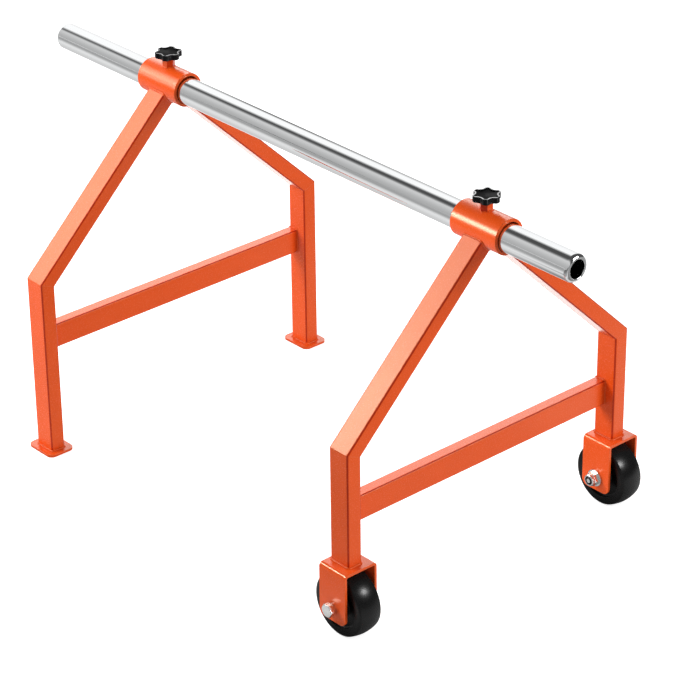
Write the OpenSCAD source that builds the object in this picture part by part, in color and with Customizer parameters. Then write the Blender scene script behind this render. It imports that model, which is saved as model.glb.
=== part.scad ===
// Rolling stand for wire spools: two welded tube frames, one on wheels and one on feet,
// carry a round steel bar that is clamped in a collar on top of each frame.
// X runs along the bar from the feet to the wheels, Y across the legs, Z up from the floor.
// The origin is on the floor, below the middle of the bar.

/* [Frames] */
// Distance between the middle planes of the two frames
frame_spacing = 700; // [620:5:780]
// Width of a frame over the outer faces of its legs
frame_w = 554; // [500:2:620]
// Height of the knee, on the centre lines of leg and strut
knee_h = 291; // [260:1:330]
// Lean of the struts from upright
strut_angle = 46; // [42:1:50]
// Height of the crossbar's upper face
crossbar_top = 210; // [180:1:240]

/* [Frame tube] */
// Width of the leg and strut tube, across the frame
tube_w = 25; // [20:0.5:30]
// Depth of the leg and strut tube, along the bar
tube_d = 38; // [34:0.5:44]
// Wall of the leg and strut tube
tube_wall = 2; // [1.5:0.25:3]
// Outer corner radius of the leg and strut tube
tube_corner = 3; // [3:0.25:4]
// Height of the crossbar tube
crossbar_h = 40; // [30:1:50]
// Depth of the crossbar tube, along the bar
crossbar_d = 20; // [16:1:26]
// Wall of the crossbar tube
crossbar_wall = 1.5; // [1:0.25:2]
// Outer corner radius of the crossbar tube
crossbar_corner = 2.5; // [2:0.25:4]

/* [Collars] */
// Radial play of the bar in a collar
collar_play = 1.3; // [0.8:0.1:3]
// Wall of a collar
collar_wall = 4.5; // [3:0.1:6]
// Length of a collar along the bar
collar_len = 91; // [70:1:100]
// Width over the flats of the clamp nut welded on a collar
nut_flats = 17; // [16:0.5:20]
// Height of the clamp nut above the collar
nut_h = 12; // [8:0.5:16]

/* [Bar] */
// Outer diameter of the bar
bar_od = 42.4; // [40:0.1:44]
// Wall of the bar
bar_wall = 2.5; // [2:0.25:4]
// Length of the bar
bar_len = 1140; // [1060:5:1220]
// Length of bar that stands out past the feet frame's middle plane
bar_overhang_feet = 264; // [180:1:300]
// Radius of the rolled-in lip at each end of the bar
lip_r = 6; // [4:0.5:7]

/* [Clamp screws] */
// Thread diameter of a clamp screw
screw_d = 10; // [8:1:12]
// Length of screw held inside the knob
screw_in_knob = 6; // [4.5:0.5:7]
// Diameter of a star knob over its lobes
knob_d = 42.5; // [39:0.5:46]
// Height of a star knob, with its neck
knob_h = 11; // [10.5:0.5:15]
// Height of the neck below a star knob's lobes
neck_h = 2; // [1:0.5:3]
// Wall of a knob's neck round its screw
knob_wall = 3; // [2:0.5:5]
// Radius of one lobe of a star knob
lobe_r = 5.2; // [4.6:0.1:6]
// Radius of the hollow between two lobes
hollow_r = 8; // [7:0.5:12]
// Width of the rim round the dish in the top of a star knob
knob_rim = 2; // [1.5:0.1:3]
// Depth of the dish at its middle
dish_depth = 2.6; // [1.5:0.1:3.5]
// Depth of the dish at the lobes
dish_edge = 0.7; // [0.4:0.1:1.2]
// Turn of the feet frame's knob and of its clamp nut
feet_knob_turn = 5.5; // [0:0.5:60]
feet_nut_turn = 3; // [0:1:60]
// Turn of the wheel frame's knob and of its clamp nut
wheel_knob_turn = 11; // [0:0.5:60]
wheel_nut_turn = 24; // [0:1:60]
// Gap between a tightened knob and its clamp nut
knob_gap = 0.8; // [0.5:0.1:2]

/* [Feet] */
// Length of a foot plate along the bar
foot_len = 60; // [52:1:70]
// Width of a foot plate across the frame
foot_w = 47; // [40:1:56]
// Thickness of a foot plate
foot_plate_t = 4; // [3:0.5:6]
// Corner radius of a foot plate
foot_corner = 10; // [6:0.5:14]

/* [Forks] */
// Outer width of a fork across the frame
fork_w = 60; // [56:1:66]
// Length of a fork along the bar
fork_len = 54; // [48:1:60]
// Thickness of the bent fork plate
fork_t = 4; // [3:0.5:5]
// Inner radius of the fork's two bends
fork_bend = 2.5; // [1:0.5:4]
// Height of the fork's sides below the axle
fork_below = 21; // [16:0.5:28]
// Radius of the lower corners of the fork's sides
fork_corner = 11; // [6:1:14]
// Gap between the wheel's tread and the underside of the fork
wheel_gap = 9; // [3:0.5:14]
// Shift of the fork towards the bar's wheel end, from the middle of the leg
fork_shift = 3.5; // [0:0.5:8]

/* [Wheels] */
// Diameter of a wheel over its tread
wheel_d = 102; // [92:1:115]
// Width of a wheel at its tread
wheel_w = 40; // [32:1:44]
// Wall of a wheel's hub round its bush
hub_wall = 6; // [4:0.5:8]
// Radius of the rounded edges of the tread
tread_edge = 8; // [5:0.5:12]
// Radius of the tread's crown
tread_crown = 60; // [50:5:200]
// Thickness of the wheel's rim, from its tread to the side recess
rim_t = 15; // [12:0.5:20]
// Depth of the recess in each side of a wheel
side_recess = 7; // [4:0.5:9]

/* [Axles] */
// Thread diameter of an axle bolt
axle_d = 12; // [10:0.5:12]
// Width over the flats of an axle bolt's head and of its nut
axle_flats = 19; // [17:1:20]
// Height of an axle bolt's head
axle_head_h = 7.5; // [6:0.5:8]
// Height of the lock nut's hexagon
lock_nut_h = 8; // [6:0.5:10]
// Height of the lock nut's round collar, which holds its nylon ring
lock_collar_h = 4; // [3.5:0.5:5]
// Wall of that collar round the nylon ring
lock_wall = 1.9; // [1.2:0.1:2.2]
// Thickness of the nylon ring
lock_ring_t = 2.5; // [2:0.25:3]
// Outer diameter of the washer under the lock nut
washer_d = 27; // [24:1:30]
// Thickness of the washer under the lock nut
washer_t = 2.5; // [1.5:0.25:3]
// Wall of the spacer ring under the bolt's head
spacer_wall = 2.4; // [1.75:0.1:4]
// Length of the spacer ring under the bolt's head
spacer_len = 4; // [2:0.5:6]
// Wall of the steel sleeve that the wheel turns on
sleeve_wall = 1.75; // [1.25:0.25:3]
// Wall of the nylon bush pressed into the wheel
bush_wall = 3; // [2:0.5:5]
// Length of bolt that stands out past the lock nut
bolt_tail = 0.5; // [0:0.5:6]

/* [Clearances] */
// Gap between the bar and the lowest line of a collar's bore
bar_seat = 0.3; // [0.2:0.05:0.6]
// Gap between the tip of a tightened clamp screw and the bar
screw_tip_gap = 0.3; // [0.2:0.05:0.6]
// Radial clearance of a screw or bolt in its nut
screw_clear = 0.08; // [0.05:0.01:0.1]
// Gap between each end of a wheel's hub and the fork
hub_gap = 1; // [0.5:0.1:2]
// Radial clearance of a knob on its screw, and the gap over the screw's end
knob_clear = 0.06; // [0.05:0.01:0.1]
// Radial clearance of a wheel's bush on its sleeve
running_clear = 0.08; // [0.05:0.01:0.1]
// Radial clearance of a bolt in its holes
bolt_clear = 0.25; // [0.15:0.05:0.5]
// Root gap of a weld between a curved and a cut face
weld_gap = 0.1; // [0.05:0.05:0.3]

/* [Hidden] */
$fn = 64;

front = -1;
back = 1;
orange = [0.93, 0.36, 0.11];
zinc = [0.78, 0.78, 0.76];
chrome = [0.82, 0.83, 0.85];
black = [0.07, 0.07, 0.075];
nylon = [0.85, 0.84, 0.8];

// Places along the bar
feet_x = -bar_len / 2 + bar_overhang_feet;
wheel_x = feet_x + frame_spacing;
fork_x = wheel_x + fork_shift;
// Leg centre lines, and the run of a strut from its knee to the collar's axis
leg_y = frame_w / 2 - tube_w / 2;
strut_run = leg_y / sin(strut_angle);
// Heights
bar_r = bar_od / 2;
collar_bore = bar_r + collar_play;
collar_r = collar_bore + collar_wall;
collar_z = knee_h + leg_y / tan(strut_angle);
bar_z = collar_z - collar_bore + bar_r + bar_seat;
nut_top = collar_z + collar_r + nut_h;
screw_tip = bar_z + bar_r + screw_tip_gap;
knob_z = nut_top + knob_gap;
// Wheel and axle
axle_r = axle_d / 2;
axle_z = wheel_d / 2;
axle_drop = wheel_d / 2 + wheel_gap + fork_t;
fork_top = axle_z + axle_drop;
fork_h = axle_drop + fork_below;
sleeve_r = axle_r + bolt_clear + sleeve_wall;
bush_bore = sleeve_r + running_clear;
bush_r = bush_bore + bush_wall;
fork_inner = fork_w / 2 - fork_t;
hub_len = 2 * (fork_inner - hub_gap);
hub_r = bush_r + hub_wall;
rim_r = wheel_d / 2 - rim_t;
lock_h = lock_nut_h + lock_collar_h;
lock_collar_r = axle_flats / 2 - 0.2;
lock_ring_r = lock_collar_r - lock_wall;
lock_lip = 0.5;
head_at = -fork_w / 2 - spacer_len;
nut_at = fork_w / 2 + washer_t;
bolt_len = nut_at - head_at + lock_h + bolt_tail;
// A length that reaches past any piece in a cut
over = 60;

// Rectangle centred on the origin, with four round corners
module round_rect(x, y, r) {
    square([x - 2 * r, y], center = true);
    square([x, y - 2 * r], center = true);
    for (sx = [-1, 1], sy = [-1, 1])
        translate([sx * (x / 2 - r), sy * (y / 2 - r)]) circle(r = r);
}

// Cross-section of a rectangular tube
module tube_section(x, y, wall, r) {
    difference() {
        round_rect(x, y, r);
        round_rect(x - 2 * wall, y - 2 * wall, max(r - wall, 0.4));
    }
}

// Half space above the mitre plane of a knee, which splits the turn between leg and strut
module above_mitre(side) {
    rotate([side * strut_angle / 2, 0, 0]) translate([-over, -over, 0]) cube(2 * over);
}

module at_knee(x, side) {
    translate([x, side * leg_y, knee_h]) children();
}

// Upright leg, from the plate under it to the mitred knee
module leg(x, side, foot_z) {
    color(orange) at_knee(x, side) difference() {
        translate([0, 0, foot_z - knee_h])
            linear_extrude(knee_h - foot_z + tube_w / 2) tube_section(tube_d, tube_w, tube_wall, tube_corner);
        above_mitre(side);
    }
}

// Leaning strut, mitred at the knee and coped round the collar
module strut(x, side) {
    color(orange) at_knee(x, side) difference() {
        rotate([side * strut_angle, 0, 0]) translate([0, 0, -tube_w / 2])
            linear_extrude(strut_run + tube_w / 2) tube_section(tube_d, tube_w, tube_wall, tube_corner);
        mirror([0, 0, 1]) rotate([-side * strut_angle, 0, 0]) above_mitre(side);
        translate([0, -side * leg_y, collar_z - knee_h]) rotate([0, 90, 0])
            cylinder(r = collar_r + weld_gap, h = 2 * over, center = true);
    }
}

// Crossbar between the legs, flush with their faces that look to the feet end
module crossbar(x) {
    color(orange) translate([x - tube_d / 2 + crossbar_d / 2, 0, crossbar_top - crossbar_h / 2])
        rotate([90, 0, 0]) linear_extrude(frame_w - 2 * tube_w, center = true)
            tube_section(crossbar_d, crossbar_h, crossbar_wall, crossbar_corner);
}

// Sleeve on top of a frame that the bar passes through, drilled for the clamp screw
module collar(x) {
    edge = 0.8;
    half = collar_len / 2;
    color(orange) translate([x, 0, collar_z]) difference() {
        rotate([0, 90, 0]) rotate_extrude() polygon([
            [collar_bore, -half], [collar_r - edge, -half], [collar_r, edge - half],
            [collar_r, half - edge], [collar_r - edge, half], [collar_bore, half]
        ]);
        cylinder(r = screw_d / 2 + bolt_clear, h = collar_r + over);
    }
}

// Hexagon with its upper corners chamfered, as on a nut
module hexagon(flats, h) {
    corner_r = flats / 2 / cos(30);
    chamfer = 1.2;
    intersection() {
        cylinder(r = corner_r, h = h, $fn = 6);
        union() {
            cylinder(r = corner_r + 0.2, h = h - chamfer);
            translate([0, 0, h - chamfer]) cylinder(r1 = corner_r + 0.2, r2 = flats / 2 - 0.3, h = chamfer);
        }
    }
}

// Hexagon nut coped to the collar and welded on it
module clamp_nut(x, turn) {
    color(orange) translate([x, 0, collar_z]) difference() {
        rotate(turn) hexagon(nut_flats, collar_r + nut_h);
        rotate([0, 90, 0]) cylinder(r = collar_r + weld_gap, h = 2 * over, center = true);
        cylinder(r = screw_d / 2 + screw_clear, h = collar_r + over);
    }
}

// Clamp screw with a chamfered tip that presses on the bar
module clamp_screw(x) {
    tip = 1.5;
    color(zinc) translate([x, 0, screw_tip]) {
        cylinder(r1 = screw_d / 2 - tip, r2 = screw_d / 2, h = tip);
        translate([0, 0, tip]) cylinder(d = screw_d, h = knob_z + screw_in_knob - screw_tip - tip);
    }
}

// Outline of the star knob, drawn in by an inset: six round lobes that run smoothly into the hollows
module star(inset = 0) {
    lobes = 6;
    half_step = 180 / lobes;
    lobe_at = knob_d / 2 - lobe_r;
    reach = lobe_r + hollow_r;
    hollow_at = lobe_at * cos(half_step) + sqrt(reach ^ 2 - (lobe_at * sin(half_step)) ^ 2);
    function lobe_centre(i) = lobe_at * [cos(2 * i * half_step), sin(2 * i * half_step)];
    function hollow_centre(i) = hollow_at * [cos((2 * i + 1) * half_step), sin((2 * i + 1) * half_step)];
    function meet(i, j) = lobe_centre(i) + (hollow_centre(j) - lobe_centre(i)) * (lobe_r - inset) / reach;
    difference() {
        union() {
            for (i = [0:lobes - 1]) translate(lobe_centre(i)) circle(r = lobe_r - inset);
            polygon([for (i = [0:lobes - 1], p = [meet(i, i - 1), meet(i, i)]) p]);
        }
        for (i = [0:lobes - 1]) translate(hollow_centre(i)) circle(r = hollow_r + inset);
    }
}

// Moulded star knob: rounded edges, a short neck round the screw, and a dish with a star-shaped rim
module knob(x, turn) {
    neck_r = screw_d / 2 + knob_wall;
    edge = 1.4;
    dish_r = knob_d / 2 - knob_rim;
    sag = dish_depth - dish_edge;
    dish_sphere = (dish_r ^ 2 + sag ^ 2) / (2 * sag);
    color(black) translate([x, 0, knob_z]) rotate(turn) difference() {
        union() {
            cylinder(r = neck_r, h = neck_h + 1);
            intersection() {
                translate([0, 0, neck_h]) linear_extrude(knob_h - neck_h) star();
                rotate_extrude() difference() {
                    translate([0, neck_h]) square([knob_d / 2, knob_h - neck_h]);
                    rim_cut(knob_h, edge, 1);
                    rim_cut(neck_h, edge, -1);
                }
            }
        }
        intersection() {
            translate([0, 0, knob_h - dish_depth - 1]) linear_extrude(dish_depth + 2) star(knob_rim);
            translate([0, 0, knob_h - dish_depth]) rotate_extrude() intersection() {
                square([knob_d / 2, dish_depth + 1]);
                translate([0, dish_sphere]) circle(r = dish_sphere, $fn = 256);
            }
        }
        translate([0, 0, -1]) cylinder(r = screw_d / 2 + knob_clear, h = screw_in_knob + knob_clear + 1);
    }
}

// Corner to be taken off the knob's rim, at height z, on its upper (1) or lower (-1) edge
module rim_cut(z, r, up) {
    translate([knob_d / 2 - r, z - up * r]) difference() {
        translate([0, up > 0 ? 0 : -r - 1]) square([r + 1, r + 1]);
        circle(r = r);
    }
}

// Round bar with a rolled-in lip at each end
module bar() {
    lip_centre = bar_r - lip_r;
    color(chrome) translate([0, 0, bar_z]) rotate([0, 90, 0]) rotate_extrude($fn = 96) {
        translate([bar_r - bar_wall, -bar_len / 2 + lip_r]) square([bar_wall, bar_len - 2 * lip_r]);
        for (end = [-1, 1]) scale([1, end]) translate([lip_centre, bar_len / 2 - lip_r]) {
            intersection() {
                difference() {
                    circle(r = lip_r);
                    circle(r = lip_r - bar_wall);
                }
                square(lip_r);
            }
            translate([0, lip_r - bar_wall / 2]) circle(d = bar_wall);
        }
    }
}

// Foot plate welded under a leg
module foot_plate(side) {
    color(orange) translate([feet_x, side * leg_y, 0])
        linear_extrude(foot_plate_t) round_rect(foot_len, foot_w, foot_corner);
}

// Fork bent from one plate: a top welded under the leg and a side on each side of the wheel
module fork(side) {
    outer_bend = fork_bend + fork_t;
    color(orange) translate([fork_x, side * leg_y, fork_top]) difference() {
        intersection() {
            rotate([90, 0, 90]) linear_extrude(fork_len, center = true) difference() {
                fork_outline(fork_w, fork_h, outer_bend);
                translate([0, -fork_t]) fork_outline(fork_w - 2 * fork_t, fork_h, fork_bend);
            }
            rotate([90, 0, 0]) linear_extrude(2 * fork_w, center = true)
                translate([0, -fork_h / 2]) {
                    round_rect(fork_len, fork_h, fork_corner);
                    translate([-fork_len / 2, 0]) square([fork_len, fork_h / 2]);
                }
        }
        translate([0, 0, -axle_drop]) rotate([90, 0, 0])
            cylinder(r = axle_r + bolt_clear, h = 2 * fork_w, center = true);
    }
}

// Upright rectangle hung from the origin, with its two upper corners rounded
module fork_outline(w, h, r) {
    translate([-w / 2, -h]) square([w, h - r]);
    translate([-w / 2 + r, -h]) square([w - 2 * r, h]);
    for (s = [-1, 1]) translate([s * (w / 2 - r), -r]) circle(r = r);
}

// Axle frame: Z runs along the axle from its head, which is on the frame's outer side
module at_axle(side) {
    translate([fork_x, side * leg_y, axle_z]) rotate([-side * 90, 0, 0]) mirror([0, 0, 1]) children();
}

// Axle bolt, with its chamfered hexagon head outwards
module axle_bolt(side) {
    tip = 1;
    color(zinc) at_axle(side) translate([0, 0, head_at]) {
        mirror([0, 0, 1]) hexagon(axle_flats, axle_head_h);
        cylinder(r = axle_r, h = bolt_len - tip);
        translate([0, 0, bolt_len - tip]) cylinder(r1 = axle_r, r2 = axle_r - tip, h = tip);
    }
}

// Steel sleeve that the bolt clamps between the fork's sides
module axle_sleeve(side) {
    color(zinc) at_axle(side) difference() {
        cylinder(r = sleeve_r, h = 2 * fork_inner, center = true);
        cylinder(r = axle_r + bolt_clear, h = 2 * fork_inner + 2, center = true);
    }
}

// Spacer ring under the bolt's head and wide washer under its nut
module washers(side) {
    color(zinc) at_axle(side) {
        difference() {
            translate([0, 0, head_at]) cylinder(r = axle_r + bolt_clear + spacer_wall, h = spacer_len);
            translate([0, 0, head_at - 1]) cylinder(r = axle_r + bolt_clear, h = spacer_len + 2);
        }
        difference() {
            translate([0, 0, fork_w / 2]) cylinder(d = washer_d, h = washer_t);
            translate([0, 0, fork_w / 2 - 1]) cylinder(r = axle_r + bolt_clear, h = washer_t + 2);
        }
    }
}

// Lock nut: a chamfered hexagon and a round collar, crimped over the nylon ring inside it
module lock_nut(side) {
    color(zinc) at_axle(side) translate([0, 0, nut_at]) difference() {
        union() {
            hexagon(axle_flats, lock_nut_h);
            translate([0, 0, lock_nut_h - 1]) cylinder(r = lock_collar_r, h = lock_collar_h);
            translate([0, 0, lock_h - 1]) cylinder(r1 = lock_collar_r, r2 = lock_collar_r - 1, h = 1);
        }
        translate([0, 0, -1]) cylinder(r = axle_r + screw_clear, h = lock_h + 2);
        translate([0, 0, lock_h - lock_lip - lock_ring_t]) cylinder(r = lock_ring_r, h = lock_ring_t);
        translate([0, 0, lock_h - lock_lip - 1]) cylinder(r = lock_ring_r - lock_lip, h = 2);
    }
}

// Nylon ring that grips the bolt's end inside the lock nut
module lock_ring(side) {
    color(black) at_axle(side) translate([0, 0, nut_at + lock_h - lock_lip - lock_ring_t]) difference() {
        cylinder(r = lock_ring_r, h = lock_ring_t);
        translate([0, 0, -1]) cylinder(r = axle_r + screw_clear, h = lock_ring_t + 2);
    }
}

// Solid wheel with a crowned tread, recessed sides and a longer hub
module wheel(side) {
    r = wheel_d / 2;
    color(black) at_axle(side) rotate_extrude($fn = 128) difference() {
        union() {
            intersection() {
                translate([r / 2, 0]) round_rect(r, wheel_w, tread_edge);
                translate([r - tread_crown, 0]) circle(r = tread_crown, $fn = 360);
            }
            translate([0, -hub_len / 2]) square([hub_r, hub_len]);
            translate([0, -wheel_w / 2]) square([r / 2, wheel_w]);
        }
        translate([-1, -hub_len]) square([bush_r + 1, 2 * hub_len]);
        for (s = [-1, 1]) scale([1, s]) side_pocket();
    }
}

// Section of the round pocket in one side of a wheel, between hub and rim
module side_pocket() {
    fillet = 3;
    depth_z = wheel_w / 2 - side_recess;
    translate([hub_r, depth_z + fillet]) square([rim_r - hub_r, side_recess + 1]);
    translate([hub_r + fillet, depth_z]) square([rim_r - hub_r - 2 * fillet, side_recess]);
    for (x = [hub_r + fillet, rim_r - fillet])
        translate([x, depth_z + fillet]) circle(r = fillet);
}

// Nylon bush pressed into the wheel's hub
module wheel_bush(side) {
    color(nylon) at_axle(side) difference() {
        cylinder(r = bush_r, h = hub_len, center = true);
        cylinder(r = bush_bore, h = hub_len + 2, center = true);
    }
}

leg(feet_x, front, foot_plate_t);  // feet_front_leg
leg(feet_x, back, foot_plate_t);  // feet_back_leg
strut(feet_x, front);  // feet_front_strut
strut(feet_x, back);  // feet_back_strut
crossbar(feet_x);  // feet_crossbar
collar(feet_x);  // feet_collar
clamp_nut(feet_x, feet_nut_turn);  // feet_clamp_nut
foot_plate(front);  // feet_front_plate
foot_plate(back);  // feet_back_plate
leg(wheel_x, front, fork_top);  // wheel_front_leg
leg(wheel_x, back, fork_top);  // wheel_back_leg
strut(wheel_x, front);  // wheel_front_strut
strut(wheel_x, back);  // wheel_back_strut
crossbar(wheel_x);  // wheel_crossbar
collar(wheel_x);  // wheel_collar
clamp_nut(wheel_x, wheel_nut_turn);  // wheel_clamp_nut
fork(front);  // front_fork
fork(back);  // back_fork
axle_bolt(front);  // front_axle_bolt
axle_sleeve(front);  // front_axle_sleeve
washers(front);  // front_washers
lock_nut(front);  // front_lock_nut
lock_ring(front);  // front_lock_ring
axle_bolt(back);  // back_axle_bolt
axle_sleeve(back);  // back_axle_sleeve
washers(back);  // back_washers
lock_nut(back);  // back_lock_nut
lock_ring(back);  // back_lock_ring
wheel(front);  // front_wheel
wheel_bush(front);  // front_wheel_bush
wheel(back);  // back_wheel
wheel_bush(back);  // back_wheel_bush
bar();
clamp_screw(feet_x);  // feet_clamp_screw
knob(feet_x, feet_knob_turn);  // feet_knob
clamp_screw(wheel_x);  // wheel_clamp_screw
knob(wheel_x, wheel_knob_turn);  // wheel_knob
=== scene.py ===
import math
import bmesh
import bpy
from mathutils import Matrix, Vector


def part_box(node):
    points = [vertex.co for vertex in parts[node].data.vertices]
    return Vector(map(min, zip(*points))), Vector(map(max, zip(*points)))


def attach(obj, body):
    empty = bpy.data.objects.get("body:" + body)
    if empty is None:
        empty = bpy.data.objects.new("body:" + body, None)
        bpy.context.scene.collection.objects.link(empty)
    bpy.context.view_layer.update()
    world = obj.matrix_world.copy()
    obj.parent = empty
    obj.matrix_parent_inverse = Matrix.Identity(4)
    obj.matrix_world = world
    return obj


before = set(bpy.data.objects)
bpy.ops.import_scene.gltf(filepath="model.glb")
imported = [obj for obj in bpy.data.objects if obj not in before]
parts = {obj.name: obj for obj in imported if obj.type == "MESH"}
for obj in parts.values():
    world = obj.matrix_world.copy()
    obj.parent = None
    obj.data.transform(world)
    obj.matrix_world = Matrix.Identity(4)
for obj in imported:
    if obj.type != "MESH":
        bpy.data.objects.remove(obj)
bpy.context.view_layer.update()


# The camera stands beyond the wheel end, to the front and well above the bar, with a long lens.
# It leans by a fraction of a degree, as the photograph does.
swing, rise, lean = math.radians(48.73), math.radians(28.026), math.radians(-0.685)
back_of_camera = Vector((math.sin(swing) * math.cos(rise), -math.cos(swing) * math.cos(rise),
                         math.sin(rise)))
level_right = Vector((math.cos(swing), math.sin(swing), 0))
level_up = back_of_camera.cross(level_right)
right = math.cos(lean) * level_right + math.sin(lean) * level_up
up = math.cos(lean) * level_up - math.sin(lean) * level_right
bpy.ops.object.camera_add(location=(2.97015, -2.53192, 2.29149))
camera = bpy.context.object
camera_turn = Matrix((right, up, back_of_camera)).transposed().to_4x4()
camera.matrix_world = Matrix.Translation(camera.location) @ camera_turn
camera.data.sensor_width = 36
camera.data.lens = 153.45
camera.data.clip_end = 60
bpy.context.scene.camera = camera
bpy.context.scene.view_settings.view_transform = "Standard"


# A plain white studio. Polished metal shows its bright back wall and ceiling, a dark seam overhead
# and a greyer front wall. Everything else gets soft white light from all round.
def feed(tree, socket, value):
    """Give a socket a value of its own, or the output of another node."""
    if isinstance(value, bpy.types.NodeSocket):
        tree.links.new(value, socket)
    else:
        socket.default_value = value


def maths(tree, operation, *values):
    node = tree.nodes.new("ShaderNodeMath")
    node.operation = operation
    for socket, value in zip(node.inputs, values):
        feed(tree, socket, value)
    return node.outputs[0]


def xyz(tree, vector):
    node = tree.nodes.new("ShaderNodeSeparateXYZ")
    tree.links.new(vector, node.inputs[0])
    return node.outputs


def grade(tree, value, low, high, to_low=0, to_high=1):
    """Move an output from one range to another, and hold it there."""
    node = tree.nodes.new("ShaderNodeMapRange")
    labels = ("Value", "From Min", "From Max", "To Min", "To Max")
    for label, given in zip(labels, (value, low, high, to_low, to_high)):
        feed(tree, node.inputs[label], given)
    return node.outputs["Result"]


def grey_ramp(tree, value, stops):
    """A grey that follows an output through its stops, each a value and the grey's level there."""
    first, last = stops[0][0], stops[-1][0]
    ramp = tree.nodes.new("ShaderNodeValToRGB")
    for at, level in stops[1:-1]:
        ramp.color_ramp.elements.new((at - first) / (last - first))
    for element, (at, level) in zip(ramp.color_ramp.elements, stops):
        element.position = (at - first) / (last - first)
        element.color = (level, level, level, 1)
    tree.links.new(grade(tree, value, first, last), ramp.inputs["Fac"])
    return ramp.outputs["Color"]


def mixed(tree, mask, colour, other):
    """A colour that gives way to the other where the mask is white."""
    node = tree.nodes.new("ShaderNodeMix")
    node.data_type = "RGBA"
    for label, value in (("Factor", mask), ("A", colour), ("B", other)):
        feed(tree, node.inputs[label], value)
    return node.outputs["Result"]


def shown_to(tree, kinds, shader, to_the_rest):
    """Show some kinds of ray one shader, and the rest of them another."""
    rays = tree.nodes.new("ShaderNodeLightPath")
    chosen = rays.outputs[kinds[0]]
    for kind in kinds[1:]:
        chosen = maths(tree, "MAXIMUM", chosen, rays.outputs[kind])
    node = tree.nodes.new("ShaderNodeMixShader")
    tree.links.new(chosen, node.inputs["Fac"])
    tree.links.new(to_the_rest.outputs[0], node.inputs[1])
    tree.links.new(shader.outputs[0], node.inputs[2])
    return node


world = bpy.data.worlds.new("white_studio")
bpy.context.scene.world = world
world.use_nodes = True
studio = world.node_tree
studio.nodes.clear()
direction = xyz(studio, studio.nodes.new("ShaderNodeTexCoord").outputs["Generated"])
# Height round the bar's axis, in degrees from the level at the back, over the top, to the front
height = maths(studio, "DEGREES", maths(studio, "ARCTAN2", direction["Z"], direction["Y"]))
# The ceiling ends softly at the seam, which slants to the front towards the feet end
seam_slant, seam_in_middle = -183, -42.3
past_seam, before_seam = 13, -11
seam = maths(studio, "MULTIPLY_ADD", direction["X"], seam_slant, seam_in_middle)
ceiling = grade(studio, maths(studio, "SUBTRACT", height, seam), past_seam, before_seam)
ceiling.node.interpolation_type = "SMOOTHSTEP"
# Between the two frames the foot of the back wall is dark, which draws a thin line along the bar
wall_foot, wall_top = 9, 38
foot_white, top_white = 0.95, 1.12
dark = maths(studio, "MINIMUM", grade(studio, direction["X"], -0.7351, -0.7081),
             grade(studio, direction["X"], -0.6286, -0.7))
foot_level = maths(studio, "MULTIPLY_ADD", dark, -foot_white, foot_white)
back_wall = grade(studio, height, wall_foot, wall_top, foot_level, top_white)
front_wall = grey_ramp(studio, height, [(90, 0.08), (104, 0.085), (110, 0.16), (116, 0.34), (124, 0.70),
                                        (136, 0.655), (145, 0.60), (155, 0.54), (166, 0.50), (180, 0.46)])
mirrored = studio.nodes.new("ShaderNodeBackground")
studio.links.new(mixed(studio, ceiling, front_wall, back_wall), mirrored.inputs["Color"])
backdrop = studio.nodes.new("ShaderNodeBackground")
backdrop.inputs["Color"].default_value = (1, 1, 1, 1)
soft = studio.nodes.new("ShaderNodeBackground")
soft.inputs["Color"].default_value = (1, 1, 1, 1)
soft.inputs["Strength"].default_value = 0.25
around = shown_to(studio, ["Is Glossy Ray"], mirrored, soft)
around = shown_to(studio, ["Is Camera Ray", "Is Transmission Ray"], backdrop, around)
studio_out = studio.nodes.new("ShaderNodeOutputWorld")
studio.links.new(around.outputs[0], studio_out.inputs["Surface"])


# Soft boxes. The three large ones leave out the pieces that would mirror them, and each of the
# others lights only a few pieces.
def middle(node):
    """The middle of a CAD piece's box."""
    low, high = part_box(node)
    return (low + high) / 2


def soft_box(name, at, size, power, aim, only=(), leaves_out=()):
    bpy.ops.object.light_add(type="AREA", location=at)
    lamp = bpy.context.object
    lamp.name = name
    lamp.data.shape = "RECTANGLE"
    lamp.data.size, lamp.data.size_y = size
    lamp.data.energy = power
    lamp.rotation_euler = (Vector(aim) - Vector(at)).to_track_quat("-Z", "Y").to_euler()
    lamp.visible_camera = False
    if only or leaves_out:
        receivers = bpy.data.collections.new(name + "_receivers")
        for node in only or leaves_out:
            receivers.objects.link(parts[node])
        lamp.light_linking.receiver_collection = receivers
        for member in receivers.collection_objects:
            member.light_linking.link_state = "INCLUDE" if only else "EXCLUDE"


knobs = ["feet_knob", "wheel_knob"]
wheels = ["front_wheel", "back_wheel"]
forks = ["front_fork", "back_fork"]
feet_legs = ["feet_front_leg", "feet_back_leg"]
feet_rails = ["feet_front_strut", "feet_back_strut", "feet_crossbar"]
over_feet, over_wheels = middle("feet_collar").x, middle("wheel_collar").x
middle_of_stand = (0.05, 0, 0.33)
soft_box("left_front", at=(-1.42, -1.35, 1.80), size=(1.65, 1.25), power=51, aim=middle_of_stand,
         leaves_out=["bar", "wheel_collar"] + forks + knobs)
soft_box("wheel_strip", at=(-1.53, -2.14, 1.39), size=(0.95, 0.9), power=92, aim=(over_wheels, 0, 0.546),
         only=["wheel_collar"])
soft_box("feet_strip", at=(-2.76, -2.14, 1.38), size=(0.8, 1.4), power=28, aim=(over_feet, 0, 0.4),
         only=["feet_collar"])
soft_box("feet_fill", at=(-2.76, -2.54, 1.38), size=(0.8, 1.4), power=40, aim=(over_feet, 0, 0.4),
         only=feet_legs + feet_rails)
soft_box("right_spot", at=(1.50, 0.467, 1.083), size=(0.35, 0.35), power=22, aim=(0.40, 0, 0.1),
         only=wheels)
soft_box("right_back", at=(5.2, 2.9, 2.4), size=(2.8, 2.8), power=228, aim=middle_of_stand,
         leaves_out=wheels)
soft_box("left_back", at=(-1.94, 1.75, 1.74), size=(2.0, 1.6), power=28, aim=middle_of_stand,
         leaves_out=["bar"] + knobs)
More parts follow.
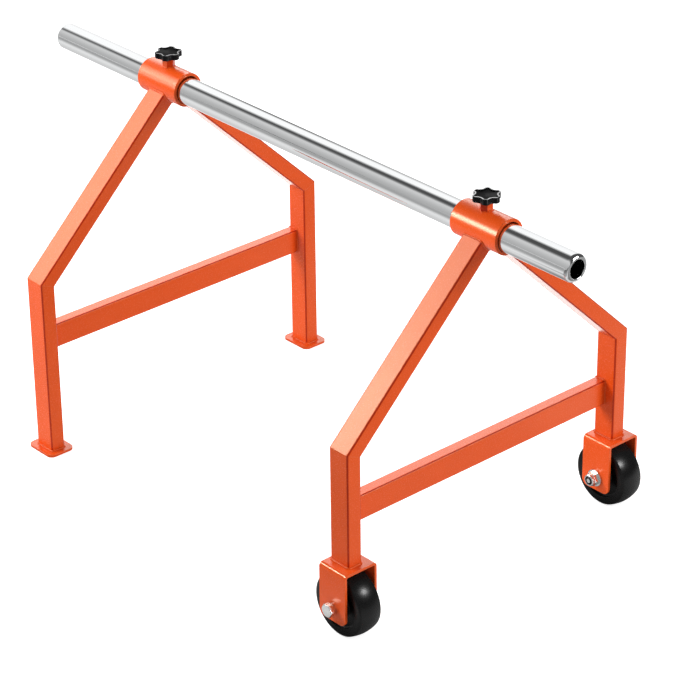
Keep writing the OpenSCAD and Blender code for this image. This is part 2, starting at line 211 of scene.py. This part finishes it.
soft_box("knee_glint", at=(-1.40, -1.50, 1.90), size=(0.35, 0.35), power=7, aim=(over_wheels, -0.26, 0.3),
         only=["wheel_front_strut"])
soft_box("fork_glint", at=(-1.42, -1.50, 1.92), size=(0.3, 0.3), power=60, aim=(over_wheels, 0, 0.1),
         only=forks)
soft_box("back_fill", at=(-1.0, -3.0, 1.2), size=(1.0, 1.0), power=40, aim=(over_wheels, 0.26, 0.2),
         only=["wheel_back_leg", "back_fork"])
# Two cards lie on the floor and light the undersides of the back struts
soft_box("feet_card", at=(-0.82, 0.47, 0.02), size=(0.5, 0.4), power=0.8, aim=(-0.82, 0.47, 1),
         only=["feet_back_strut"])
soft_box("wheel_card", at=(0.0, 0.47, 0.02), size=(0.5, 0.4), power=1.0, aim=(0.0, 0.47, 1),
         only=["wheel_back_strut"])
soft_box("knob_rims", at=(-2.60, 2.33, 2.48), size=(1.0, 1.0), power=13, aim=(0.05, 0, 0.6), only=knobs)


# The studio floor: matt white paper. It is white to the camera and keeps the soft shadow under the
# feet and wheels. Polished metal shows it brightest just in front of the stand.
def distance(tree, across, along):
    """How far off a point is that lies so far across and so far along."""
    squares = [maths(tree, "POWER", way, 2) for way in (across, along)]
    return maths(tree, "SQRT", maths(tree, "ADD", *squares))


bpy.ops.mesh.primitive_grid_add(x_subdivisions=8, y_subdivisions=8, size=30, location=(0, 0, -0.0002))
floor = bpy.context.object
floor.name = "paper_floor"
bpy.ops.object.transform_apply()
paper = bpy.data.materials.new("white_paper")
paper.use_nodes = True
tree = paper.node_tree
tree.nodes.clear()
matt = tree.nodes.new("ShaderNodeBsdfDiffuse")
matt.inputs["Color"].default_value = (0.82, 0.82, 0.82, 1)
glow = tree.nodes.new("ShaderNodeEmission")
glow.inputs["Strength"].default_value = 0.75
white = tree.nodes.new("ShaderNodeAddShader")
tree.links.new(matt.outputs[0], white.inputs[0])
tree.links.new(glow.outputs[0], white.inputs[1])
place = xyz(tree, tree.nodes.new("ShaderNodeTexCoord").outputs["Object"])
reflected = tree.nodes.new("ShaderNodeEmission")
lit = grey_ramp(tree, place["Y"], [(-3.0, 0.42), (-2.0, 0.39), (-1.4, 0.44), (-1.03, 0.62), (-0.67, 0.86),
                                   (-0.44, 0.85), (-0.22, 0.76), (-0.06, 0.68), (0.25, 0.66), (0.42, 1.1),
                                   (1.0, 1.2)])
tree.links.new(lit, reflected.inputs["Color"])
# Behind the bar it is darker between the frames, lit in a band outside the wheels and darker again
# beyond it. Well in front of the stand it is darker on the wheels' side.
beside = grey_ramp(tree, place["X"], [(-0.10, 1.0), (0.13, 0.4), (0.42, 0.4), (0.47, 1.1), (0.74, 1.1),
                                      (0.86, 0.3), (1.25, 0.3)])
behind = maths(tree, "MULTIPLY", maths(tree, "SUBTRACT", beside, 1), grade(tree, place["Y"], -0.25, 0.0))
front_drop = -0.55
in_front = maths(tree, "MULTIPLY", grade(tree, place["Y"], -0.40, -0.36, front_drop, 0),
                 grade(tree, place["X"], -0.10, 0.05))
# Near a wheel that change fades out, and the wheel shades the floor all round its foot
axle = middle("back_axle_sleeve")
from_wheel = distance(tree, maths(tree, "SUBTRACT", place["X"], axle.x),
                      maths(tree, "SUBTRACT", maths(tree, "ABSOLUTE", place["Y"]), axle.y))
change = maths(tree, "ADD", in_front, behind)
change = maths(tree, "MULTIPLY", change, grade(tree, from_wheel, 0.13, 0.17))
under_wheel = 0.12
wheel_shade = grade(tree, from_wheel, 0.03, 0.11, under_wheel, 1)
level = maths(tree, "MULTIPLY", maths(tree, "ADD", change, 1), wheel_shade)
tree.links.new(level, reflected.inputs["Strength"])
surface = shown_to(tree, ["Is Camera Ray", "Is Transmission Ray"], white, matt)
surface = shown_to(tree, ["Is Glossy Ray"], reflected, surface)
paper_out = tree.nodes.new("ShaderNodeOutputMaterial")
tree.links.new(surface.outputs[0], paper_out.inputs["Surface"])
floor.data.materials.append(paper)


# The two frames: rectangular steel tube, mitred at the knees, coped round the collars and welded.
# They are sprayed all over with orange powder, which is baked to a smooth skin with a slight
# orange peel. Along the cut edges a lighter orange is painted on: a painted highlight.
def new_effect(name, inputs, outputs):
    """An empty node group. Its inputs are colours and numbers, each with the value it starts at."""
    group = bpy.data.node_groups.new(name, "ShaderNodeTree")
    for label, start in inputs.items():
        kind = "NodeSocketColor" if isinstance(start, tuple) else "NodeSocketFloat"
        group.interface.new_socket(label, in_out="INPUT", socket_type=kind).default_value = start
    for label, kind in outputs.items():
        group.interface.new_socket(label, in_out="OUTPUT", socket_type=kind)
    return group, group.nodes.new("NodeGroupInput").outputs, group.nodes.new("NodeGroupOutput").inputs


def noise(tree, size, detail):
    """Soft noise over the object, in clouds of a given size."""
    node = tree.nodes.new("ShaderNodeTexNoise")
    node.inputs["Detail"].default_value = detail
    tree.links.new(tree.nodes.new("ShaderNodeTexCoord").outputs["Object"], node.inputs["Vector"])
    tree.links.new(maths(tree, "DIVIDE", 1, size), node.inputs["Scale"])
    return node.outputs["Fac"]


# Mottle: a colour that drifts softly into a second shade over the surface
white_paint = (1.0, 1.0, 1.0, 1.0)
mottle, given, result = new_effect("Mottle", {"Colour": white_paint, "Shade": white_paint, "Size": 0.05,
                                              "Amount": 0.5}, {"Colour": "NodeSocketColor"})
first_shade, second_shade = 0.35, 0.65
drift = grade(mottle, noise(mottle, given["Size"], detail=3), first_shade, second_shade)
drift = maths(mottle, "MULTIPLY", drift, given["Amount"])
mottle.links.new(mixed(mottle, drift, given["Colour"], given["Shade"]), result["Colour"])

# Skin: the fine unevenness of a coat or a moulding, with every sharp edge rounded to a radius.
# Its mask is white along those edges, where the rounded surface turns away from the flat one.
skin, given, result = new_effect("Skin", {"Grain": 0.002, "Depth": 0.00005, "Edge": 0.0006,
                                          "Rough Low": 0.3, "Rough High": 0.4},
                                 {"Roughness": "NodeSocketFloat", "Normal": "NodeSocketVector",
                                  "Edge Mask": "NodeSocketFloat"})
on_flat, on_edge = 0.985, 0.86
hollow, hill = 0.3, 0.7
ripple = noise(skin, given["Grain"], detail=2)
rounded = skin.nodes.new("ShaderNodeBevel")
rounded.samples = 6
skin.links.new(given["Edge"], rounded.inputs["Radius"])
relief = skin.nodes.new("ShaderNodeBump")
relief.inputs["Strength"].default_value = 1
skin.links.new(ripple, relief.inputs["Height"])
skin.links.new(given["Depth"], relief.inputs["Distance"])
skin.links.new(rounded.outputs["Normal"], relief.inputs["Normal"])
agrees = skin.nodes.new("ShaderNodeVectorMath")
agrees.operation = "DOT_PRODUCT"
skin.links.new(rounded.outputs["Normal"], agrees.inputs[0])
skin.links.new(skin.nodes.new("ShaderNodeNewGeometry").outputs["Normal"], agrees.inputs[1])
roughness = grade(skin, ripple, hollow, hill, given["Rough Low"], given["Rough High"])
skin.links.new(roughness, result["Roughness"])
skin.links.new(relief.outputs["Normal"], result["Normal"])
skin.links.new(grade(skin, agrees.outputs["Value"], on_flat, on_edge), result["Edge Mask"])


def effect(tree, group, values):
    node = tree.nodes.new("ShaderNodeGroup")
    node.name = group.name
    node.node_tree = group
    for label, value in values.items():
        node.inputs[label].default_value = value
    return node.outputs


def paint_over(tree, mask, colour):
    """Cover the base colour with another where the mask is white."""
    base = tree.nodes["Principled BSDF"].inputs["Base Color"]
    tree.links.new(mixed(tree, mask, base.links[0].from_socket, (*colour, 1)), base)


def finish(name, colour, shade, patch, grain, depth, edge, rough, edge_colour=None, metallic=0.0,
           specular=0.5):
    """A finish whose colour drifts between two shades, with a fine skin and rounded edges."""
    material = bpy.data.materials.new(name)
    material.use_nodes = True
    tree = material.node_tree
    shader = tree.nodes["Principled BSDF"]
    shader.inputs["Metallic"].default_value = metallic
    shader.inputs["Specular IOR Level"].default_value = specular
    drift = effect(tree, mottle, {"Colour": (*colour, 1), "Shade": (*shade, 1), "Size": patch})
    face = effect(tree, skin, {"Grain": grain, "Depth": depth, "Edge": edge, "Rough Low": rough[0],
                               "Rough High": rough[1]})
    tree.links.new(drift["Colour"], shader.inputs["Base Color"])
    if edge_colour:
        paint_over(tree, face["Edge Mask"], edge_colour)
    tree.links.new(face["Roughness"], shader.inputs["Roughness"])
    tree.links.new(face["Normal"], shader.inputs["Normal"])
    return material


def coat(material, nodes):
    for node in nodes:
        for slot in parts[node].material_slots:
            slot.material = material


# The edge colour here is a painted highlight, a lighter orange along the rounded edges
powder = finish("orange_powder_coat", colour=(0.82, 0.092, 0.011), shade=(0.77, 0.082, 0.009), patch=0.09,
                grain=0.0016, depth=0.000012, edge=0.0007, rough=(0.22, 0.29),
                edge_colour=(0.90, 0.20, 0.07), specular=0.4)
powder.node_tree.nodes["Principled BSDF"].inputs["Specular Tint"].default_value = (1.0, 0.86, 0.58, 1)
# Painted shade: white along the tubes' rounded corners, where a darker, redder orange is painted over the
# powder
corner, given, result = new_effect("Corner", {}, {"Mask": "NodeSocketFloat"})
facing = xyz(corner, corner.nodes.new("ShaderNodeNewGeometry").outputs["Normal"])
sideways = maths(corner, "ABSOLUTE", facing["X"])
off_front = grade(corner, sideways, 0.1, 0.4)
off_side = grade(corner, sideways, 0.97, 0.85)
corner.links.new(maths(corner, "MULTIPLY", off_front, off_side), result["Mask"])
# The darker, redder orange of the painted shade in the corners
painted_corner_shade = (0.50, 0.022, 0.001)
tube_powder_painted_shade = powder.copy()
tube_powder_painted_shade.name = "orange_powder_on_tube_painted_shade"
paint_over(tube_powder_painted_shade.node_tree, effect(tube_powder_painted_shade.node_tree, corner, {})["Mask"], painted_corner_shade)
wheel_legs = ["wheel_front_leg", "wheel_back_leg"]
wheel_rails = ["wheel_front_strut", "wheel_back_strut", "wheel_crossbar"]
coat(tube_powder_painted_shade, feet_legs + feet_rails + ["feet_clamp_nut"])
coat(tube_powder_painted_shade, wheel_legs + wheel_rails + ["wheel_clamp_nut"])
coat(powder, ["feet_collar", "wheel_collar", "feet_front_plate", "feet_back_plate"] + forks)
# The bar would mirror these as orange bands
for node in feet_rails + ["wheel_front_strut"]:
    parts[node].visible_glossy = False


# Weld beads: each joint of a frame is arc welded all round and painted over. A bead is a ripple of
# small pools, about 2 mm proud at the legs and collars and smaller at the crossbar and the nuts.
# It is drawn as the outline of the tube that ends there, and swept with a round section.
leg_bead, crossbar_bead, strut_bead, nut_bead = 0.0021, 0.0014, 0.0018, 0.0012
pool_length, pool_swell = 0.0032, 0.07
slow_pace, slow_swell = 0.23, 0.05
tube_round, crossbar_round, nut_round = 0.003, 0.0025, 0.0004
strut_lean = math.radians(46)
nut_flats = 0.017
nut_turns = {"feet": math.radians(3), "wheel": math.radians(24)}
corner_to_flat = math.radians(30)
# A strut's outline is thrown onto its collar from so far off the collar's middle, and a nut's from
# so far above the collar
strut_throw, nut_throw = 0.036, 0.006


def outline(width, length, corner, sides=4):
    """The outline of a tube's end as a closed ring of edges, lying level at the origin."""
    bpy.ops.object.select_all(action="DESELECT")
    if sides == 4:
        bpy.ops.mesh.primitive_plane_add(size=1)
    else:
        bpy.ops.mesh.primitive_circle_add(vertices=sides, radius=0.5, fill_type="NGON")
    ring = bpy.context.object
    ring.scale = (width, length, 1)
    bpy.ops.object.transform_apply(location=False, rotation=False, scale=True)
    bpy.ops.object.mode_set(mode="EDIT")
    bpy.ops.mesh.select_all(action="SELECT")
    bpy.ops.mesh.bevel(offset=corner, segments=5, affect="VERTICES")
    bpy.ops.mesh.select_all(action="SELECT")
    bpy.ops.mesh.delete(type="ONLY_FACE")
    for cuts, longest in ((7, 0.0035), (3, 0.0015)):
        mesh = bmesh.from_edit_mesh(ring.data)
        for edge in mesh.edges:
            edge.select_set(edge.calc_length() > longest)
        bmesh.update_edit_mesh(ring.data)
        bpy.ops.mesh.subdivide(number_cuts=cuts)
    bpy.ops.object.mode_set(mode="OBJECT")
    return ring


def weld_bead(name, ring, place, tilt, radius, body, onto=None):
    """Sweep the ring into a rippled bead where the tube ends, or where its outline meets a collar."""
    ring.location = place
    ring.rotation_euler = tilt
    bpy.context.view_layer.objects.active = ring
    if onto:
        throw = ring.modifiers.new("cope", "SHRINKWRAP")
        throw.wrap_method = "PROJECT"
        throw.use_project_z = True
        throw.use_positive_direction = True
        throw.target = parts[onto]
        bpy.ops.object.modifier_apply(modifier="cope")
    bpy.ops.object.transform_apply()
    bpy.ops.object.convert(target="CURVE")
    run = ring.data
    run.bevel_depth = radius
    run.bevel_resolution = 3
    spline = run.splines[0]
    travelled = 0.0
    last = spline.points[0].co.xyz
    for knot in spline.points:
        travelled += (knot.co.xyz - last).length
        last = knot.co.xyz
        pool = 2 * math.pi * travelled / pool_length
        knot.radius = 1 + pool_swell * math.sin(pool) + slow_swell * math.sin(slow_pace * pool)
    bpy.ops.object.convert(target="MESH")
    ring.name = name
    ring.data.materials.clear()
    ring.data.materials.append(powder)
    bpy.ops.object.shade_smooth()
    bpy.ops.object.mode_set(mode="EDIT")
    bpy.ops.mesh.select_all(action="SELECT")
    bpy.ops.mesh.remove_doubles(threshold=0.00001)
    bpy.ops.mesh.normals_make_consistent(inside=False)
    bpy.ops.object.mode_set(mode="OBJECT")
    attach(ring, body)


lying, standing, upside_down = (0, 0, 0), (math.pi / 2, 0, 0), (math.pi, 0, 0)
for end in ("feet", "wheel"):
    body = end + "_frame"
    collar = end + "_collar"
    collar_middle = middle(collar)
    collar_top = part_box(collar)[1].z
    crossbar_low, crossbar_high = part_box(end + "_crossbar")
    crossbar_deep, crossbar_tall = crossbar_high.x - crossbar_low.x, crossbar_high.z - crossbar_low.z
    for side, hand in (("front", -1), ("back", 1)):
        leg = f"{end}_{side}_leg"
        leg_low, leg_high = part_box(leg)
        tube_deep, tube_across = leg_high.x - leg_low.x, leg_high.y - leg_low.y
        leg_end = (middle(leg).x, middle(leg).y, leg_low.z)
        ring = outline(tube_deep, tube_across, tube_round)
        weld_bead(f"{end}_{side}_leg_weld", ring, leg_end, lying, leg_bead, body)
        crossbar_end = middle(end + "_crossbar") + Vector((0, hand * crossbar_high.y, 0))
        ring = outline(crossbar_deep, crossbar_tall, crossbar_round)
        weld_bead(f"{end}_{side}_crossbar_weld", ring, crossbar_end, standing, crossbar_bead, body)
        down_strut = Vector((0, hand * math.sin(strut_lean), -math.cos(strut_lean)))
        ring = outline(tube_deep, tube_across, tube_round)
        weld_bead(f"{end}_{side}_strut_weld", ring, collar_middle + down_strut * strut_throw,
                  (hand * strut_lean, 0, 0), strut_bead, body, onto=collar)
    nut_corners = nut_flats / math.cos(math.pi / 6)
    ring = outline(nut_corners, nut_corners, nut_round, sides=6)
    ring.rotation_euler = (0, 0, nut_turns[end] + corner_to_flat)
    bpy.ops.object.transform_apply(location=False, scale=False)
    weld_bead(f"{end}_nut_weld", ring, (collar_middle.x, 0, collar_top + nut_throw), upside_down, nut_bead,
              body, onto=collar)


# Axle bolts, spacers, washers, sleeves and lock nuts, and the clamp screws: steel, cold headed or
# turned, with bright zinc plating that is cloudy in places.
zinc = finish("bright_zinc", colour=(0.80, 0.80, 0.78), shade=(0.62, 0.62, 0.61), patch=0.006,
              grain=0.0008, depth=0.000006, edge=0.0008, rough=(0.14, 0.28),
              edge_colour=(0.30, 0.27, 0.27), metallic=1.0)
coat(zinc, ["front_axle_sleeve", "front_washers", "front_lock_nut", "feet_clamp_screw"])
coat(zinc, ["back_axle_sleeve", "back_washers", "back_lock_nut", "wheel_clamp_screw"])
# Painted shade: white over the threaded end of an axle bolt but for the bare spot in its middle, where
# near-black is painted over the zinc
bare_spot, thread_reach = 0.0034, 0.25
# The near-black of the painted shade in the thread and round the bolt's end
painted_thread_shade = (0.03, 0.03, 0.032)
thread, given, result = new_effect("Thread", {"Axle X": axle.x, "Axle Z": axle.z, "Inside": thread_reach},
                                   {"Mask": "NodeSocketFloat"})
place = xyz(thread, thread.nodes.new("ShaderNodeTexCoord").outputs["Object"])
from_axis = distance(thread, maths(thread, "SUBTRACT", place["X"], given["Axle X"]),
                     maths(thread, "SUBTRACT", place["Z"], given["Axle Z"]))
off_axis = maths(thread, "GREATER_THAN", from_axis, bare_spot)
inner = maths(thread, "LESS_THAN", maths(thread, "ABSOLUTE", place["Y"]), given["Inside"])
thread.links.new(maths(thread, "MULTIPLY", off_axis, inner), result["Mask"])
bolt_zinc_painted_shade = zinc.copy()
bolt_zinc_painted_shade.name = "bright_zinc_bolt_painted_shade"
paint_over(bolt_zinc_painted_shade.node_tree, effect(bolt_zinc_painted_shade.node_tree, thread, {})["Mask"], painted_thread_shade)
coat(bolt_zinc_painted_shade, ["front_axle_bolt", "back_axle_bolt"])


# Rings of the lock nuts: dark nylon, moulded. Each is pressed into its nut's collar, which is
# crimped over it.
ring_black = finish("dark_nylon", colour=(0.008, 0.008, 0.009), shade=(0.014, 0.014, 0.015), patch=0.004,
                    grain=0.0008, depth=0.00002, edge=0.0002, rough=(0.4, 0.5), specular=0.3)
coat(ring_black, ["front_lock_ring", "back_lock_ring"])


# Wheels: solid black plastic, moulded in one piece with their hubs. The tread is satin and has
# faint flow marks.
wheel_black = finish("black_wheel", colour=(0.0045, 0.0045, 0.0045), shade=(0.008, 0.008, 0.008),
                     patch=0.03, grain=0.0012, depth=0.000012, edge=0.0006, rough=(0.24, 0.32),
                     specular=0.2)
coat(wheel_black, wheels)


# Bushes: natural nylon, pressed into the wheels' hubs. They turn on the steel sleeves that the
# axle bolts clamp.
nylon = finish("natural_nylon", colour=(0.72, 0.70, 0.63), shade=(0.64, 0.61, 0.54), patch=0.01,
               grain=0.001, depth=0.00002, edge=0.0003, rough=(0.4, 0.5))
coat(nylon, ["front_wheel_bush", "back_wheel_bush"])


# The bar: welded steel tube with both ends rolled in, ground, polished and chromed. It lies loose
# in the two collars until the screws clamp it.
chrome = finish("polished_chrome", colour=(0.87, 0.88, 0.885), shade=(0.83, 0.84, 0.85), patch=0.2,
                grain=0.02, depth=0.0000015, edge=0.0002, rough=(0.05, 0.09), metallic=1.0)
coat(chrome, ["bar"])


# Knobs: black plastic, moulded on the ends of the clamp screws in a polished mould. The gloss is
# full on the flat rim, less on the lobes' sides, and faint in the dished top.
knob_black = finish("glossy_black", colour=(0.004, 0.0042, 0.005), shade=(0.006, 0.006, 0.007), patch=0.01,
                    grain=0.003, depth=0.000006, edge=0.0012, rough=(0.30, 0.40), specular=0.01)
rim_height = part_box("feet_knob")[1].z
gloss, given, result = new_effect("Gloss", {"Rim Height": rim_height, "In Dish": 0.03, "On Sides": 0.4},
                                  {"Weight": "NodeSocketFloat"})
place = xyz(gloss, gloss.nodes.new("ShaderNodeTexCoord").outputs["Object"])
facing = xyz(gloss, gloss.nodes.new("ShaderNodeNewGeometry").outputs["Normal"])
below_rim = maths(gloss, "SUBTRACT", given["Rim Height"], place["Z"])
in_dish = grade(gloss, below_rim, 0.0001, 0.0005)
upward = grade(gloss, facing["Z"], 0.6, 0.85)
on_top = grade(gloss, in_dish, 0, 1, 1, given["In Dish"])
gloss.links.new(grade(gloss, upward, 0, 1, given["On Sides"], on_top), result["Weight"])
tree = knob_black.node_tree
shader = tree.nodes["Principled BSDF"]
shader.inputs["Coat Roughness"].default_value = 0.08
tree.links.new(effect(tree, gloss, {})["Weight"], shader.inputs["Coat Weight"])
coat(knob_black, knobs)
